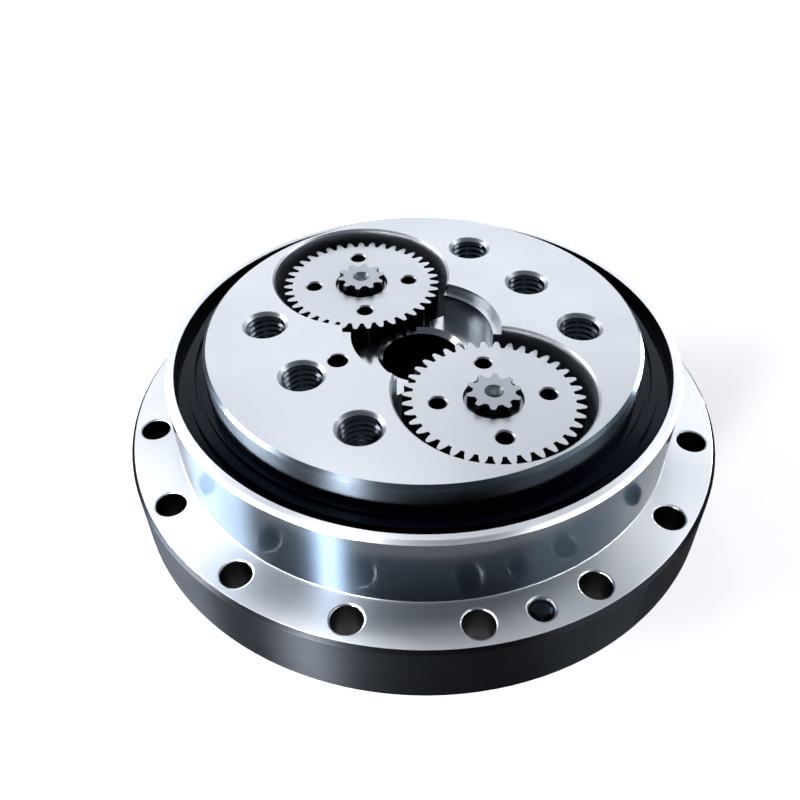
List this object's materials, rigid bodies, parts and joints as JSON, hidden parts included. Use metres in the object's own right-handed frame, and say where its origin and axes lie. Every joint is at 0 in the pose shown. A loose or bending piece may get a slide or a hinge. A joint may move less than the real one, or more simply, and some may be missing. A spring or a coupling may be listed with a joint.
{
  "type": "cycloidal reducer",
  "caption": "Cycloidal speed reducer for a robot joint: flanged steel case, output face with tapped holes, and spur gears on crankshafts in a clover-shaped pocket.",
  "frame": {"origin": "centre of the hold flange's outer face, at the bottom", "axes": "+Z along the main axis towards the output face, +X through the two middle output holes, +Y through the two crankshafts"},
  "size_m": [0.19, 0.19, 0.076],
  "materials": {
    "turned_steel": "turned and ground bare steel",
    "ground_steel": "finely ground bare steel",
    "gear_steel": "hardened and ground steel, satin",
    "bearing_steel": "polished bearing steel",
    "disc_steel": "hardened steel, ground faces",
    "black_steel": "black oxide",
    "cage_brass": "satin",
    "seal_rubber": "oiled black nitrile"
  },
  "bodies": {
    "case": {"case": "turned_steel", "ring_pins": "ground_steel", "oil_seal": "seal_rubber", "garter_spring": "bearing_steel", "outer_race_lower": "bearing_steel", "outer_race_upper": "bearing_steel"},
    "carrier": {"output_shaft": "ground_steel", "hold_flange": "ground_steel", "clamp_bolts": "black_steel", "clamp_washers": "black_steel", "locating_pins": "ground_steel", "inner_race_lower": "bearing_steel", "inner_race_upper": "bearing_steel", "taper_cup_lower_a": "bearing_steel", "taper_cup_lower_b": "bearing_steel", "taper_cup_upper_a": "bearing_steel", "taper_cup_upper_b": "bearing_steel", "bearing_clip_a": "black_steel", "bearing_clip_b": "black_steel"},
    "disc_lower": {"disc_lower": "disc_steel"},
    "disc_upper": {"disc_upper": "disc_steel"},
    "ball_set_lower": {"main_balls_lower": "bearing_steel", "main_cage_lower": "cage_brass"},
    "ball_set_upper": {"main_balls_upper": "bearing_steel", "main_cage_upper": "cage_brass"},
    "crank_a": {"crankshaft_a": "gear_steel", "spur_gear_a": "gear_steel", "gear_clip_a": "black_steel", "crank_washers_a": "gear_steel", "taper_cone_lower_a": "bearing_steel", "taper_cone_upper_a": "bearing_steel"},
    "taper_set_lower_a": {"taper_rollers_lower_a": "bearing_steel", "taper_cage_lower_a": "cage_brass"},
    "needle_set_lower_a": {"needles_lower_a": "bearing_steel", "needle_cage_lower_a": "cage_brass"},
    "taper_set_upper_a": {"taper_rollers_upper_a": "bearing_steel", "taper_cage_upper_a": "cage_brass"},
    "needle_set_upper_a": {"needles_upper_a": "bearing_steel", "needle_cage_upper_a": "cage_brass"},
    "crank_b": {"crankshaft_b": "gear_steel", "spur_gear_b": "gear_steel", "gear_clip_b": "black_steel", "crank_washers_b": "gear_steel", "taper_cone_lower_b": "bearing_steel", "taper_cone_upper_b": "bearing_steel"},
    "taper_set_lower_b": {"taper_rollers_lower_b": "bearing_steel", "taper_cage_lower_b": "cage_brass"},
    "needle_set_lower_b": {"needles_lower_b": "bearing_steel", "needle_cage_lower_b": "cage_brass"},
    "taper_set_upper_b": {"taper_rollers_upper_b": "bearing_steel", "taper_cage_upper_b": "cage_brass"},
    "needle_set_upper_b": {"needles_upper_b": "bearing_steel", "needle_cage_upper_b": "cage_brass"}
  },
  "joints": [
    {"name": "output_spin", "type": "hinge", "parent": "case", "child": "carrier", "pos_m": [0, 0, 0], "axis": [0, 0, 1], "continuous": true},
    {"name": "crank_a_spin", "type": "hinge", "parent": "carrier", "child": "crank_a", "pos_m": [0, 0.036, 0], "axis": [0, 0, 1], "continuous": true},
    {"name": "crank_b_spin", "type": "hinge", "parent": "carrier", "child": "crank_b", "pos_m": [0, -0.036, 0], "axis": [0, 0, 1], "continuous": true},
    {"name": "disc_upper_swing", "type": "hinge", "parent": "crank_a", "child": "disc_upper", "pos_m": [0.0013, 0.036, 0], "axis": [0, 0, 1], "continuous": true},
    {"name": "disc_lower_swing", "type": "hinge", "parent": "crank_a", "child": "disc_lower", "pos_m": [-0.0013, 0.036, 0], "axis": [0, 0, 1], "continuous": true},
    {"name": "ball_set_lower_spin", "type": "hinge", "parent": "case", "child": "ball_set_lower", "pos_m": [0, 0, 0], "axis": [0, 0, 1], "continuous": true},
    {"name": "ball_set_upper_spin", "type": "hinge", "parent": "case", "child": "ball_set_upper", "pos_m": [0, 0, 0], "axis": [0, 0, 1], "continuous": true},
    {"name": "taper_set_lower_a_spin", "type": "hinge", "parent": "carrier", "child": "taper_set_lower_a", "pos_m": [0, 0.036, 0], "axis": [0, 0, 1], "continuous": true},
    {"name": "needle_set_lower_a_spin", "type": "hinge", "parent": "crank_a", "child": "needle_set_lower_a", "pos_m": [-0.0013, 0.036, 0], "axis": [0, 0, 1], "continuous": true},
    {"name": "taper_set_upper_a_spin", "type": "hinge", "parent": "carrier", "child": "taper_set_upper_a", "pos_m": [0, 0.036, 0], "axis": [0, 0, 1], "continuous": true},
    {"name": "needle_set_upper_a_spin", "type": "hinge", "parent": "crank_a", "child": "needle_set_upper_a", "pos_m": [0.0013, 0.036, 0], "axis": [0, 0, 1], "continuous": true},
    {"name": "taper_set_lower_b_spin", "type": "hinge", "parent": "carrier", "child": "taper_set_lower_b", "pos_m": [0, -0.036, 0], "axis": [0, 0, 1], "continuous": true},
    {"name": "needle_set_lower_b_spin", "type": "hinge", "parent": "crank_b", "child": "needle_set_lower_b", "pos_m": [-0.0013, -0.036, 0], "axis": [0, 0, 1], "continuous": true},
    {"name": "taper_set_upper_b_spin", "type": "hinge", "parent": "carrier", "child": "taper_set_upper_b", "pos_m": [0, -0.036, 0], "axis": [0, 0, 1], "continuous": true},
    {"name": "needle_set_upper_b_spin", "type": "hinge", "parent": "crank_b", "child": "needle_set_upper_b", "pos_m": [0.0013, -0.036, 0], "axis": [0, 0, 1], "continuous": true}
  ],
  "couplings": [
    {"joint": "output_spin", "follows": "crank_a_spin", "ratio": -0.025},
    {"joint": "crank_b_spin", "follows": "crank_a_spin", "ratio": 1},
    {"joint": "disc_upper_swing", "follows": "crank_a_spin", "ratio": -1},
    {"joint": "disc_lower_swing", "follows": "crank_a_spin", "ratio": -1},
    {"joint": "ball_set_lower_spin", "follows": "crank_a_spin", "ratio": -0.01184},
    {"joint": "ball_set_upper_spin", "follows": "crank_a_spin", "ratio": -0.01184},
    {"joint": "taper_set_lower_a_spin", "follows": "crank_a_spin", "ratio": 0.4375},
    {"joint": "needle_set_lower_a_spin", "follows": "crank_a_spin", "ratio": -0.57143},
    {"joint": "taper_set_upper_a_spin", "follows": "crank_a_spin", "ratio": 0.4375},
    {"joint": "needle_set_upper_a_spin", "follows": "crank_a_spin", "ratio": -0.57143},
    {"joint": "taper_set_lower_b_spin", "follows": "crank_a_spin", "ratio": 0.4375},
    {"joint": "needle_set_lower_b_spin", "follows": "crank_a_spin", "ratio": -0.57143},
    {"joint": "taper_set_upper_b_spin", "follows": "crank_a_spin", "ratio": 0.4375},
    {"joint": "needle_set_upper_b_spin", "follows": "crank_a_spin", "ratio": -0.57143}
  ]
}
